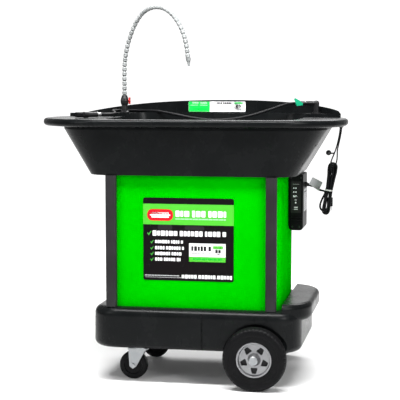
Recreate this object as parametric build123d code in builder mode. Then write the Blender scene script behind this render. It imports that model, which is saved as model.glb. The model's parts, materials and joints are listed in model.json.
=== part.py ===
from build123d import *
import math
import os

# Mobile parts washer: a green tank between four posts, on a black rolling base, under a black sink.
# Millimetres. X runs along the length, Y from front to back, Z up, origin on the floor at the middle.

# base
base_left, base_right, base_depth, base_corner = -376, 510, 612, 105
base_bottom, base_top = 142, 307
body_right, step_left, step_bottom, step_top, step_round = 474, 402, 264, 335, 22
groove_x, groove_width, groove_depth, wheel_recess_gap = 87, 9, 6, 6
base_wall, socket_depth = 9, 10

# big wheels
wheel_radius, wheel_width, wheel_inner_y = 127, 62, 306
tyre_inner_radius, hub_thickness, axle_radius = 70, 44, 10
wheel_x = 302
running_gap = 0.05

# casters
caster_x, caster_y, caster_trail = -185, 207, 30
caster_radius, caster_width, caster_axle_radius, kingpin_radius = 57.5, 32, 5, 6

# tank and posts
tank_left, tank_right, tank_half_depth = -322, 392, 256
tank_wall, tank_top = 6, 838
front_corner, rear_corner = 40, 150
post_width, post_depth, post_wall = 44, 28, 3
post_left_x, post_right_x = -291, 357
post_front_y, post_rear_y = -271, 237

# sink
rim_length, rim_depth, rim_corner = 1264, 652, 300
sink_bottom, body_top, rim_bottom, deck, ledge = 838, 1020, 1031, 1062, 1076
body_high = (-526, 560, -300, 300, 200)      # left, right, front, back, corner of the sink's body under the rim
body_low = (-395, 446, -276, 276, 95)        # the same where it stands on the tank
bowl_floor, ledge_front, splash_inner = 862, 150, 30
bowl_low = (-270, 345, -256, 215, 60)      # left, right, front, back, corner of the bowl at its floor
bowl_high = (-335, 455, -292, 250, 110)    # the same where the bowl opens
drain_x, drain_y, drain_radius = 37, -18, 29
false_bottom_z, false_bottom_thickness = 905, 6
lug_height = false_bottom_z - bowl_floor - 0.4

# spigot and gooseneck
spigot_x, spigot_y, spigot_top = -357, 225, 1152
bead_radius, bead_pitch, neck_radius = 10, 20.6, 7
knob_z, stem_radius = 1128, 3

# brush line
elbow_x, elbow_y, elbow_z = 484, 212, 1120
valve_x, hose_radius = 425, 5
brush_x, brush_y, brush_turn = -433, -95, 50
brush_radius, brush_length = 12.5, 124

# control box
box_left, box_right, box_front, box_seam, box_back = 396, 454, -14, 16, 142
box_low, box_high, box_corner = 601, 833, 14
gland_y, gland_z, gland_length = 60, 786, 20

# cord
cord_radius = 4
hank_low, hank_high = Vector(544, 0, 668), Vector(578, 0, 888)
hank_width, hank_depth = 42, 30

os.makedirs("parts", exist_ok=True)


def save(piece, name):
    piece.label = name
    export_step(piece, f"parts/{name}.step")


def rounded_outline(left, right, front, back, corner):
    """A rounded rectangle in the current sketch, given by its four sides."""
    with Locations(((left + right) / 2, (front + back) / 2)):
        RectangleRounded(right - left, back - front, corner)


def tank_section(inset, z):
    """The tank's plan at height z: small corners in front, large ones behind."""
    left, right, depth = tank_left + inset, tank_right - inset, tank_half_depth - inset
    with BuildSketch(Plane.XY.offset(z)) as plan:
        with Locations(((left + right) / 2, 0)):
            Rectangle(right - left, 2 * depth)
        fillet(plan.vertices().sort_by(Axis.Y)[:2], front_corner - inset)
        fillet(plan.vertices().sort_by(Axis.Y)[-2:], rear_corner - inset)
    return plan.sketch


def tube(points, radius, bend_share=0.45):
    """A round tube along straight runs joined by arcs as large as the runs allow."""
    corners = [Vector(*p) for p in points]
    radii = []
    for before, here, after in zip(corners, corners[1:], corners[2:]):
        run = min((here - before).length, (after - here).length)
        turn = math.radians((here - before).get_angle(after - here))
        radii.append(bend_share * run / math.tan(turn / 2))
    with BuildPart() as body:
        with BuildLine():
            route = FilletPolyline(*corners, radius=radii)
        with BuildSketch(Plane(origin=route @ 0, z_dir=route % 0)):
            Circle(radius)
        sweep(path=route)
    length = route.length
    share = body.part.volume / (math.pi * radius**2 * length)
    print(f"tube {length:.0f} long, least radius {min(radii):.0f}, volume share {share:.3f}")
    return body.part


# ---- base ----
with BuildPart() as step:
    with BuildSketch(Plane.XY.offset(step_bottom)):
        rounded_outline(-base_right, base_right, -base_depth / 2 + 14, base_depth / 2 - 14, 150)
        with Locations((step_left - base_right, 0)):
            Rectangle(2 * base_right, base_depth, mode=Mode.SUBTRACT)
    extrude(amount=step_top - step_bottom)
    fillet(step.faces().sort_by(Axis.Z)[-1].edges().filter_by(lambda e: e.center().X > step_left + 1), step_round)
    fillet(step.faces().sort_by(Axis.Z)[0].edges().filter_by(lambda e: e.center().X > step_left + 1), step_round)

with BuildPart() as chassis:
    with BuildSketch(Plane.XY.offset(base_bottom)):
        rounded_outline(base_left, body_right, -base_depth / 2, base_depth / 2, base_corner)
    extrude(amount=base_top - base_bottom)
    fillet(chassis.faces().sort_by(Axis.Z)[-1].edges(), 34)
    fillet(chassis.faces().sort_by(Axis.Z)[0].edges(), 24)
    # hollow inside
    with BuildSketch(Plane.XY.offset(base_bottom + base_wall)):
        rounded_outline(base_left + 36, body_right - 36, -base_depth / 2 + 36, base_depth / 2 - 36,
                        base_corner - 30)
    extrude(amount=base_top - socket_depth - base_wall - base_bottom - base_wall, mode=Mode.SUBTRACT)
    # socket that the tank stands in
    extrude(tank_section(-0.3, base_top - socket_depth), amount=socket_depth, mode=Mode.SUBTRACT)
    # recesses beside the big wheels
    for side in (-1, 1):
        with BuildSketch(Plane.XZ.offset(-side * (base_depth / 2 - 16))):
            with Locations((wheel_x, wheel_radius)):
                Circle(wheel_radius + wheel_recess_gap)
        extrude(amount=-side * 20, mode=Mode.SUBTRACT)
    # moulded joint line in the front and back faces
    with BuildSketch(Plane.XY.offset(base_bottom)):
        with Locations((groove_x, -base_depth / 2), (groove_x, base_depth / 2)):
            Rectangle(groove_width, 2 * groove_depth)
    extrude(amount=base_top - base_bottom, mode=Mode.SUBTRACT)
    # foot step round the right end, standing out past the body
    add(step.part)
save(chassis.part, "base_chassis")

bracket_holes = [(wheel_x + dx, side * 250, base_bottom - 5) for side in (-1, 1) for dx in (-30, 30)]
with BuildPart() as axle_brackets:
    for side in (-1, 1):
        with BuildSketch(Plane.XZ.offset(-side * 250)):
            with BuildLine():
                top = base_bottom
                Polyline((wheel_x - 42, top), (wheel_x + 42, top), (wheel_x + 42, top - 5),
                         (wheel_x + 18, top - 5), (wheel_x + 18, 109), (wheel_x - 18, 109),
                         (wheel_x - 18, top - 5), (wheel_x - 42, top - 5), close=True)
            make_face()
            with Locations((wheel_x, wheel_radius)):
                Circle(axle_radius, mode=Mode.SUBTRACT)
        extrude(amount=20, both=True)
    with Locations(*bracket_holes):
        Cylinder(4.2, 20, mode=Mode.SUBTRACT)
save(axle_brackets.part, "axle_brackets")


outer_y = wheel_inner_y + wheel_width
with BuildPart() as wheel_axle:
    with BuildSketch(Plane.XZ):
        with Locations((wheel_x, wheel_radius)):
            Circle(axle_radius)
    extrude(amount=outer_y + 4, both=True)
save(wheel_axle.part, "wheel_axle")

with BuildPart() as axle_caps:
    for side in (-1, 1):
        with BuildSketch(Plane.XZ.offset(-side * (outer_y + 1))):
            with Locations((wheel_x, wheel_radius)):
                Circle(19)
        extrude(amount=-side * 9)
        fillet(axle_caps.edges().sort_by(Axis.Y)[0 if side < 0 else -1], 5)
    with BuildSketch(Plane.XZ):
        with Locations((wheel_x, wheel_radius)):
            Circle(axle_radius)
    extrude(amount=outer_y + 4, both=True, mode=Mode.SUBTRACT)
save(axle_caps.part, "axle_caps")


def make_tyre(middle_y):
    with BuildPart() as tyre:
        with BuildSketch(Plane.YZ.offset(wheel_x)):
            with Locations((middle_y, wheel_radius + (wheel_radius + tyre_inner_radius) / 2)):
                ring = Rectangle(wheel_width - 2, wheel_radius - tyre_inner_radius)
            fillet(ring.vertices().sort_by(Axis.Y)[2:], 20)
        revolve(axis=Axis((wheel_x, 0, wheel_radius), (0, 1, 0)))
    return tyre.part


def make_hub(middle_y):
    half = hub_thickness / 2
    with BuildPart() as hub:
        with BuildSketch(Plane.YZ.offset(wheel_x)):
            with BuildLine():
                bore, r = axle_radius + running_gap, wheel_radius
                Polyline((middle_y - 30, r + bore), (middle_y + 30, r + bore), (middle_y + 30, r + 18),
                         (middle_y + 11, r + 26), (middle_y + 11, r + 60), (middle_y + half, r + 64),
                         (middle_y + half, r + tyre_inner_radius), (middle_y - half, r + tyre_inner_radius),
                         (middle_y - half, r + 64), (middle_y - 11, r + 60), (middle_y - 11, r + 26),
                         (middle_y - 30, r + 18), close=True)
            make_face()
        revolve(axis=Axis((wheel_x, 0, wheel_radius), (0, 1, 0)))
        # five tapered pockets in each face
        for side in (-1, 1):
            with BuildSketch(Plane(origin=(wheel_x, middle_y + side * 3, wheel_radius), x_dir=(1, 0, 0),
                                   z_dir=(0, side, 0))) as pockets:
                with PolarLocations(44, 5, start_angle=54):
                    Trapezoid(30, 24, 106, rotation=90)
                fillet(pockets.vertices(), 4)
            extrude(amount=12, mode=Mode.SUBTRACT)
    return hub.part


for name, side in (("front", -1), ("rear", 1)):
    middle = side * (wheel_inner_y + wheel_width / 2)
    save(make_tyre(middle), f"{name}_wheel_tyre")
    save(make_hub(middle), f"{name}_wheel_hub")

# ---- casters ----
fork_top, fork_bottom = 127.5, 121
fork_inner = caster_width / 2 + 3
wheel_centre_x = caster_x - caster_trail


def make_caster_plate(y):
    with BuildPart() as plate:
        with BuildSketch(Plane.XY.offset(base_bottom)):
            with Locations((caster_x, y)):
                RectangleRounded(104, 84, 8)
                with GridLocations(80, 60, 2, 2):
                    Circle(4.2, mode=Mode.SUBTRACT)
        extrude(amount=-4)
        for radius, top, bottom in ((27, 138, 128), (kingpin_radius, 128, 119), (10, 120.4, 116.6)):
            with BuildSketch(Plane.XY.offset(top)):
                with Locations((caster_x, y)):
                    Circle(radius)
            extrude(amount=bottom - top)
    return plate.part


def make_fork(y):
    axle_z = caster_radius
    with BuildPart() as fork:
        with BuildSketch(Plane.XY.offset(fork_bottom)):
            with Locations((caster_x - 12, y)):
                RectangleRounded(84, 2 * fork_inner + 8, 12)
            with Locations((caster_x, y)):
                Circle(kingpin_radius + running_gap, mode=Mode.SUBTRACT)
        extrude(amount=fork_top - fork_bottom)
        for side in (-1, 1):
            with BuildSketch(Plane.XZ.offset(-(y + side * fork_inner))):
                with BuildLine():
                    Polyline((caster_x - 48, fork_bottom), (caster_x + 22, fork_bottom),
                             (wheel_centre_x + 14, axle_z - 4), (wheel_centre_x, axle_z - 14),
                             (wheel_centre_x - 14, axle_z - 4), close=True)
                make_face()
                with Locations((wheel_centre_x, axle_z)):
                    Circle(caster_axle_radius, mode=Mode.SUBTRACT)
            extrude(amount=-side * 4)
    return fork.part


def make_caster_wheel(y):
    with BuildPart() as wheel:
        with BuildSketch(Plane.YZ.offset(wheel_centre_x)):
            with BuildLine():
                half, r, bore = caster_width / 2, caster_radius, caster_axle_radius + running_gap
                Polyline((y - half - 2, r + bore), (y + half + 2, r + bore), (y + half + 2, r + 12),
                         (y + half - 5, r + 15), (y + half - 5, r + 36), (y + half, r + 38),
                         (y + half, 2 * r - 6), (y + half - 6, 2 * r), (y - half + 6, 2 * r),
                         (y - half, 2 * r - 6), (y - half, r + 38), (y - half + 5, r + 36),
                         (y - half + 5, r + 15), (y - half - 2, r + 12), close=True)
            make_face()
        revolve(axis=Axis((wheel_centre_x, 0, caster_radius), (0, 1, 0)))
    return wheel.part


def make_caster_axle(y):
    with BuildPart() as axle:
        with BuildSketch(Plane.XZ.offset(-y)):
            with Locations((wheel_centre_x, caster_radius)):
                Circle(caster_axle_radius)
        extrude(amount=fork_inner + 8, both=True)
        for side in (-1, 1):
            with BuildSketch(Plane.XZ.offset(-(y + side * (fork_inner + 4)))):
                with Locations((wheel_centre_x, caster_radius)):
                    RegularPolygon(9, 6)
            extrude(amount=-side * 6)
    return axle.part


for name, side in (("front", -1), ("rear", 1)):
    save(make_caster_plate(side * caster_y), f"{name}_caster_plate")
    save(make_fork(side * caster_y), f"{name}_caster_fork")
    save(make_caster_wheel(side * caster_y), f"{name}_caster_wheel")
    save(make_caster_axle(side * caster_y), f"{name}_caster_axle")

caster_holes = [(caster_x + dx, side * caster_y + dy, base_bottom - 4)
                for side in (-1, 1) for dx in (-40, 40) for dy in (-30, 30)]
with BuildPart() as chassis_bolts:
    for x, y, z in caster_holes + bracket_holes:
        with BuildSketch(Plane.XY.offset(z)):
            with Locations((x, y)):
                RegularPolygon(8, 6)
        extrude(amount=-5)
        with BuildSketch(Plane.XY.offset(z)):
            with Locations((x, y)):
                Circle(4)
        extrude(amount=base_bottom - z)
save(chassis_bolts.part, "chassis_bolts")

# ---- tank and what is in it ----
tank_bottom = base_top - socket_depth
with BuildPart() as tank:
    extrude(tank_section(0, tank_bottom), amount=tank_top - tank_bottom)
    extrude(tank_section(tank_wall, tank_bottom + tank_wall), amount=tank_top - tank_bottom, mode=Mode.SUBTRACT)
save(tank.part, "tank_shell")


for name, y in (("front", post_front_y), ("rear", post_rear_y)):
    with BuildPart() as posts:
        with BuildSketch(Plane.XY.offset(base_top)):
            with Locations((post_left_x, y), (post_right_x, y)):
                RectangleRounded(post_width, post_depth, 9)
                RectangleRounded(post_width - 2 * post_wall, post_depth - 2 * post_wall, 6, mode=Mode.SUBTRACT)
        extrude(amount=tank_top - base_top)
    save(posts.part, f"{name}_posts")

tank_floor = tank_bottom + tank_wall
pump_x, pump_y = -60, 90
with BuildPart() as pump:
    for radius, low, high in ((62, 0, 12), (54, 12, 110), (40, 110, 150), (9, 150, 176)):
        with BuildSketch(Plane.XY.offset(tank_floor + low)):
            with Locations((pump_x, pump_y)):
                Circle(radius)
        extrude(amount=high - low)
    with BuildSketch(Plane.XY.offset(tank_floor)):
        with Locations((pump_x, pump_y)):
            with PolarLocations(50, 8):
                Circle(7)
    extrude(amount=10, mode=Mode.SUBTRACT)
save(pump.part, "pump")

heater_y, heater_z = 40, 372
tank_inner_x = tank_right - tank_wall
with BuildPart() as heater:
    with BuildSketch(Plane.YZ.offset(tank_inner_x)):
        with Locations((heater_y, heater_z)):
            RectangleRounded(70, 90, 10)
    extrude(amount=-10)
    with BuildLine():
        element = FilletPolyline((tank_inner_x - 10, heater_y, heater_z - 25), (80, heater_y, heater_z - 25),
                                 (80, heater_y, heater_z + 25), (tank_inner_x - 10, heater_y, heater_z + 25),
                                 radius=24)
    with BuildSketch(Plane(origin=element @ 0, z_dir=element % 0)):
        Circle(5)
    sweep(path=element)
save(heater.part, "heater")

probe_y = heater_y - 64
with BuildPart() as probe:
    with BuildSketch(Plane.YZ.offset(tank_inner_x)):
        with Locations((probe_y, heater_z)):
            Circle(14)
    extrude(amount=-8)
    with BuildSketch(Plane.YZ.offset(tank_inner_x - 8)):
        with Locations((probe_y, heater_z)):
            Circle(4)
    extrude(amount=-110)
save(probe.part, "temperature_probe")

# ---- sink ----
feed_left = [(pump_x, pump_y, tank_floor + 176), (pump_x, pump_y, 560), (pump_x - 60, 130, 690),
             (-270, 165, 770), (-294, 180, 850), (-320, 208, 950), (spigot_x, spigot_y, 1005),
             (spigot_x, spigot_y, 1050)]
feed_right = [(pump_x + 40, pump_y, tank_floor + 130), (pump_x + 110, pump_y, tank_floor + 130),
              (130, 100, 560), (280, 112, 700), (360, 118, 800), (382, 128, 880), (440, 168, 980),
              (elbow_x, elbow_y, 1026), (elbow_x, elbow_y, 1050)]
feed_radius = 5


def section(sides, z):
    """A rounded rectangle at height z, for a loft."""
    with BuildSketch(Plane.XY.offset(z)) as outline:
        rounded_outline(*sides)
    return outline.sketch


def centred(length, depth, corner):
    return (-length / 2, length / 2, -depth / 2, depth / 2, corner)


def bowl_sides(z):
    """The bowl's plan at height z, between its floor and its mouth."""
    share = (z - bowl_floor) / (ledge + 4 - bowl_floor)
    return [low + share * (high - low) for low, high in zip(bowl_low, bowl_high)]


with BuildPart() as splash:
    with BuildSketch(Plane.XY.offset(deck)):
        rounded_outline(*centred(rim_length - 24, rim_depth - 12, rim_corner - 6))
        with Locations((0, 0)):
            RectangleRounded(rim_length - 24 - 2 * splash_inner, rim_depth - 12 - 2 * splash_inner,
                             rim_corner - 6 - splash_inner, mode=Mode.SUBTRACT)
    extrude(amount=80)
    with BuildSketch(Plane.XZ):
        with BuildLine():
            rise = Spline((-520, ledge + 2), (-430, 1097), (0, 1130), (530, 1101), (582, 1088),
                          tangents=((1, 0.3), (1, -0.4)))
            Polyline(rise @ 1, (606, deck), (-535, deck), rise @ 0)
        make_face()
    extrude(amount=-rim_depth, mode=Mode.INTERSECT)
    with BuildSketch(Plane.XY.offset(deck)):
        with Locations((0, ledge_front - 500)):
            Rectangle(rim_length, 1000)
    extrude(amount=80, mode=Mode.SUBTRACT)

with BuildPart() as rim:
    with BuildSketch(Plane.XY.offset(rim_bottom)):
        rounded_outline(*centred(rim_length, rim_depth, rim_corner))
    extrude(amount=deck - rim_bottom)
    fillet(rim.faces().sort_by(Axis.Z)[-1].edges(), 14)
    fillet(rim.faces().sort_by(Axis.Z)[0].edges(), 14)

with BuildPart() as sink:
    loft(sections=[section(body_low, sink_bottom), section(body_high, body_top)])
    extrude(section(body_high, body_top), amount=rim_bottom - body_top)
    add(rim.part)
    # raised ledge along the back, and the splash wall on it
    with BuildSketch(Plane.XY.offset(deck)):
        rounded_outline(*centred(rim_length - 44, rim_depth - 30, rim_corner - 18))
        with Locations((0, ledge_front - 500)):
            Rectangle(rim_length, 1000, mode=Mode.SUBTRACT)
    extrude(amount=ledge - deck)
    add(splash.part)
    # the bowl, and the hollows under the two end decks
    loft(sections=[section(bowl_low, bowl_floor), section(bowl_high, ledge + 4)], mode=Mode.SUBTRACT)
    loft(sections=[section((-382, -278, -235, 235, 45), 850), section((-495, -343, -243, 243, 70), 1054)],
         mode=Mode.SUBTRACT)
    loft(sections=[section((353, 424, -225, 225, 35), 850), section((463, 512, -230, 230, 24), 1054)],
         mode=Mode.SUBTRACT)
    # lugs in the bowl that carry the work surface
    with BuildSketch(Plane.XY.offset(bowl_floor)):
        with Locations((-235, -215), (-235, 175), (325, -215), (325, 175)):
            Circle(14)
    extrude(amount=lug_height)
    # drain, feed-hose holes and fitting holes
    with BuildSketch(Plane.XY.offset(sink_bottom)):
        with Locations((drain_x, drain_y)):
            Circle(drain_radius)
        with Locations((-293, 179), (371, 122)):
            Circle(13)
    extrude(amount=bowl_floor - sink_bottom, mode=Mode.SUBTRACT)
    with BuildSketch(Plane.XY.offset(1050)):
        with Locations((spigot_x, spigot_y), (elbow_x, elbow_y)):
            Circle(9)
    extrude(amount=40, mode=Mode.SUBTRACT)
    # hole for the cord's hanger under the right end of the rim
    with BuildSketch(Plane.XY.offset(rim_bottom)):
        with Locations((606, 0)):
            Circle(4)
    extrude(amount=12, mode=Mode.SUBTRACT)
print("sink", sink.part.is_valid, len(sink.part.solids()))
save(sink.part, "sink_basin")

with BuildPart() as drain:
    for radius, low, high in ((38, 0, 3), (drain_radius - 0.2, -60, 0)):
        with BuildSketch(Plane.XY.offset(bowl_floor + low)):
            with Locations((drain_x, drain_y)):
                Circle(radius)
        extrude(amount=high - low)
    with BuildSketch(Plane.XY.offset(bowl_floor - 60)):
        with Locations((drain_x, drain_y)):
            Circle(22)
    extrude(amount=57, mode=Mode.SUBTRACT)
    with BuildSketch(Plane.XY.offset(bowl_floor - 60)):
        with Locations((drain_x, drain_y)):
            Circle(4)
            with PolarLocations(14, 6):
                Circle(4)
    extrude(amount=70, mode=Mode.SUBTRACT)
save(drain.part, "drain_fitting")

grid_low, grid_high, bar = bowl_floor + 3.2, bowl_floor + 15, 5
grid_sides = (-205, 290, -185, 145)
with BuildPart() as support_grid:
    with BuildSketch(Plane.XY.offset(grid_low)):
        rounded_outline(*grid_sides, 20)
        with Locations(((grid_sides[0] + grid_sides[1]) / 2, (grid_sides[2] + grid_sides[3]) / 2)):
            with GridLocations(48.5, 53, 10, 6):
                Rectangle(48.5 - bar, 53 - bar, mode=Mode.SUBTRACT)
    extrude(amount=grid_high - grid_low)
save(support_grid.part, "filter_support_grid")

with BuildPart() as filter_mat:
    with BuildSketch(Plane.XY.offset(grid_high)):
        rounded_outline(*grid_sides, 20)
    extrude(amount=4)
save(filter_mat.part, "filter_mat")

surface_left, surface_right, surface_front, surface_back, surface_corner = bowl_sides(false_bottom_z)
with BuildPart() as false_bottom:
    with BuildSketch(Plane.XY.offset(false_bottom_z)):
        rounded_outline(surface_left + 6, surface_right - 6, surface_front + 6, surface_back - 6, 62)
        with Locations(((surface_left + surface_right) / 2, (surface_front + surface_back) / 2)):
            with GridLocations(48, 48, 11, 8):
                Circle(8, mode=Mode.SUBTRACT)
    extrude(amount=false_bottom_thickness)
save(false_bottom.part, "sink_false_bottom")

# ---- labels ----
label_thickness = 0.6
with BuildPart() as tank_label:
    with BuildSketch(Plane.XZ.offset(tank_half_depth)):
        with Locations(((-163 + 206) / 2, (416 + 750) / 2)):
            RectangleRounded(369, 334, 9)
    extrude(amount=label_thickness)
save(tank_label.part, "tank_label")

splash_face_y = (rim_depth - 12) / 2 - splash_inner
with BuildPart() as splash_label:
    with BuildSketch(Plane.XZ.offset(-splash_face_y)):
        with Locations((42, 1102)):
            RectangleRounded(252, 44, 3)
    extrude(amount=label_thickness)
save(splash_label.part, "splash_label")

# ---- spigot ----
neck_bottom = spigot_top + 0.5
with BuildPart() as spigot:
    with BuildSketch(Plane.XZ.offset(-spigot_y)):
        with BuildLine():
            Polyline((spigot_x, ledge - 22), (spigot_x + 8, ledge - 22), (spigot_x + 8, ledge),
                     (spigot_x + 19, ledge), (spigot_x + 19, ledge + 5), (spigot_x + 13, ledge + 8),
                     (spigot_x + 13, 1108), (spigot_x + 17, 1116), (spigot_x + 18, 1128),
                     (spigot_x + 16, 1138), (spigot_x + 11, spigot_top), (spigot_x + 4.5, spigot_top),
                     (spigot_x + 4.5, spigot_top + 12), (spigot_x, spigot_top + 12), close=True)
        make_face()
    revolve(axis=Axis((spigot_x, spigot_y, 0), (0, 0, 1)))
    with BuildSketch(Plane.YZ.offset(spigot_x + 6)):
        with Locations((spigot_y, knob_z)):
            Circle(stem_radius + running_gap)
    extrude(amount=20, mode=Mode.SUBTRACT)
save(spigot.part, "spigot_body")

with BuildPart() as knob:
    with BuildSketch(Plane.YZ.offset(spigot_x + 7)):
        with Locations((spigot_y, knob_z)):
            Circle(stem_radius)
    extrude(amount=12)
    with BuildSketch(Plane.YZ.offset(spigot_x + 19)):
        with Locations((spigot_y, knob_z)):
            Circle(7)
            SlotOverall(30, 8, rotation=90)
    extrude(amount=7)
save(knob.part, "spigot_knob")

# Gooseneck: ball-jointed beads along an arch that leans forward and to the right over the bowl.
arch_angle = math.radians(-31.6)
arch_dir = Vector(math.cos(arch_angle), math.sin(arch_angle), 0)
arch_points = [(0, neck_bottom + bead_radius), (0, 1215), (2, 1285), (19, 1362), (57, 1441), (112, 1502),
               (186, 1526), (258, 1511), (308, 1474), (347, 1421), (369, 1359), (380, 1297)]
with BuildLine():
    arch_line = Spline(*[Vector(spigot_x, spigot_y, z) + arch_dir * s for s, z in arch_points],
                       tangents=((0, 0, 1), (0.1, -0.06, -1)))
bead_count = int(arch_line.length / bead_pitch) + 1
beads = [arch_line @ min(1, index * bead_pitch / arch_line.length) for index in range(bead_count)]
bead_dirs = [(arch_line % min(1, index * bead_pitch / arch_line.length)) for index in range(bead_count)]
lower_end, middle_end = 10, 25


def bead_chain(first, last, bore=0):
    """Beads from first to last, joined by thinner necks."""
    with BuildPart() as chain:
        for here, there in zip(beads[first:last], beads[first + 1:last + 1]):
            with BuildSketch(Plane(origin=here, z_dir=there - here)):
                Circle(neck_radius)
            extrude(amount=(there - here).length)
        for index in range(first, last + 1):
            with Locations(Plane(origin=beads[index], z_dir=bead_dirs[index])):
                Sphere(bead_radius)
        if bore:
            with BuildSketch(Plane.XY.offset(neck_bottom - 5)):
                with Locations((spigot_x, spigot_y)):
                    Circle(bore)
            extrude(amount=18.5, mode=Mode.SUBTRACT)
    return chain.part


save(bead_chain(0, lower_end, 4.5 + running_gap), "gooseneck_lower")
save(bead_chain(lower_end + 1, middle_end), "gooseneck_middle")
save(bead_chain(middle_end + 1, bead_count - 1), "gooseneck_upper")
print("beads", bead_count, "joints at", [tuple(round(c, 2) for c in beads[i])
                                         for i in (lower_end, middle_end)])
print("arch normal", arch_dir.rotate(Axis.Z, 90))

nozzle_dir = (beads[-1] - beads[-2]).normalized()
with BuildPart() as nozzle:
    with BuildSketch(Plane(origin=beads[-1] + nozzle_dir * 9.2, z_dir=nozzle_dir)):
        Circle(11)
    with BuildSketch(Plane(origin=beads[-1] + nozzle_dir * 22, z_dir=nozzle_dir)):
        Circle(9)
    loft()
    with BuildSketch(Plane(origin=beads[-1] + nozzle_dir * 22, z_dir=nozzle_dir)):
        Circle(7)
    with BuildSketch(Plane(origin=beads[-1] + nozzle_dir * 42, z_dir=nozzle_dir)):
        Circle(4.5)
    loft()
    with BuildSketch(Plane(origin=beads[-1] + nozzle_dir * 20, z_dir=nozzle_dir)):
        Circle(3)
    extrude(amount=30, mode=Mode.SUBTRACT)
    with Locations(beads[-1]):
        Sphere(bead_radius, mode=Mode.SUBTRACT)
save(nozzle.part, "spray_nozzle")

# ---- brush line ----
valve_end = valve_x - 33
with BuildPart() as elbow:
    with BuildSketch(Plane.XY.offset(ledge - 22)):
        with Locations((elbow_x, elbow_y)):
            Circle(8)
    extrude(amount=22)
    for radius, low, high in ((18, ledge, ledge + 6), (12, ledge + 6, elbow_z)):
        with BuildSketch(Plane.XY.offset(low)):
            with Locations((elbow_x, elbow_y)):
                Circle(radius)
        extrude(amount=high - low)
    with Locations((elbow_x, elbow_y, elbow_z)):
        Sphere(12)
    with BuildSketch(Plane.YZ.offset(valve_x + 15)):
        with Locations((elbow_y, elbow_z)):
            Circle(10)
    extrude(amount=elbow_x - valve_x - 15)
save(elbow.part, "brush_elbow")

valve_stem_x = valve_x - 6
with BuildPart() as valve:
    with BuildSketch(Plane.YZ.offset(valve_end)):
        with Locations((elbow_y, elbow_z)):
            Circle(6.5)
    extrude(amount=valve_x + 15 - valve_end)
    with BuildSketch(Plane.YZ.offset(valve_x - 18)):
        with Locations((elbow_y, elbow_z)):
            Circle(9)
    extrude(amount=26)
    with BuildSketch(Plane.XZ.offset(-elbow_y)):
        with Locations((valve_stem_x, elbow_z)):
            Circle(6)
    extrude(amount=14)
    with BuildSketch(Plane.XZ.offset(-elbow_y + 2)):
        with Locations((valve_stem_x, elbow_z)):
            Circle(stem_radius + running_gap)
    extrude(amount=20, mode=Mode.SUBTRACT)
save(valve.part, "brush_valve_body")

with BuildPart() as valve_handle:
    with BuildSketch(Plane.XZ.offset(-elbow_y + 3)):
        with Locations((valve_stem_x, elbow_z)):
            Circle(stem_radius)
    extrude(amount=12)
    with BuildSketch(Plane.XZ.offset(-elbow_y + 14.5)):
        with BuildLine():
            Polyline((valve_stem_x + 9, elbow_z - 9), (valve_stem_x - 16, elbow_z - 11),
                     (valve_stem_x - 22, elbow_z + 4), (valve_stem_x - 29, elbow_z + 19),
                     (valve_stem_x - 22, elbow_z + 21), (valve_stem_x - 4, elbow_z + 11),
                     (valve_stem_x + 10, elbow_z - 1), close=True)
        make_face()
    extrude(amount=8)
    fillet(valve_handle.edges().filter_by(Axis.Y).filter_by(lambda e: e.length > 7.5), 2.5)
save(valve_handle.part, "brush_valve_handle")

turn = math.radians(brush_turn)
brush_dir = Vector(math.cos(turn), math.sin(turn), 0)
brush_mid = Vector(brush_x, brush_y, deck + brush_radius + 0.3)
tip = brush_mid - brush_dir * brush_length / 2
bristle_length, handle_length, ferrule_length = 40, 66, 18


def brush_piece(start, sections):
    """Round solid along the brush: (radius, length) steps from a distance behind the tip."""
    with BuildPart() as piece:
        along = start
        for radius, length in sections:
            with BuildSketch(Plane(origin=tip + brush_dir * along, z_dir=brush_dir)):
                Circle(radius)
            extrude(amount=length)
            along += length
    return piece.part


save(brush_piece(0, [(brush_radius - 0.5, bristle_length)]), "brush_bristles")
save(brush_piece(bristle_length, [(brush_radius, 20), (brush_radius - 2, handle_length - 20)]), "brush_handle")
save(brush_piece(bristle_length + handle_length, [(10.5, 4), (8, ferrule_length - 4)]), "brush_ferrule")

hose_start = tip + brush_dir * (bristle_length + handle_length + ferrule_length)
hose_lead = hose_start + brush_dir * 32
hose_route = [tuple(hose_start), tuple(hose_lead), (-358, 42, 1075.5), (-366, 98, 1078),
              (-388, 152, 1084), (-408, 208, 1085), (-398, 258, 1085), (-350, 281, 1085), (-292, 284, 1085),
              (-236, 262, 1084), (-176, 222, 1078), (-104, 180, 1066), (-28, 142, 1054), (62, 118, 1047),
              (142, 128, 1053), (208, 150, 1066), (262, 172, 1083), (308, 192, 1099), (345, 205, 1112),
              (368, 212, 1119), (valve_end, elbow_y, elbow_z)]
save(tube(hose_route, hose_radius), "brush_hose")

# ---- control box ----
box_mid_y = (box_seam + box_back) / 2
with BuildPart() as bracket:
    with BuildSketch(Plane.YZ.offset(tank_right)):
        with Locations((box_mid_y, (box_low + box_high) / 2)):
            RectangleRounded(box_back - box_seam - 24, box_high - box_low - 30, 6)
    extrude(amount=box_left - tank_right)
save(bracket.part, "control_bracket")


def box_section(inset, y):
    """The box's section at depth y, seen from the front, with large lower corners."""
    with BuildSketch(Plane.XZ.offset(-y)) as shape:
        with Locations(((box_left + box_right) / 2, (box_low + box_high) / 2)):
            Rectangle(box_right - box_left - 2 * inset, box_high - box_low - 2 * inset)
        fillet(shape.vertices().sort_by(Axis.Y)[:2], box_corner - inset)
        fillet(shape.vertices().sort_by(Axis.Y)[-2:], 6 - inset)
    return shape.sketch


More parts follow.
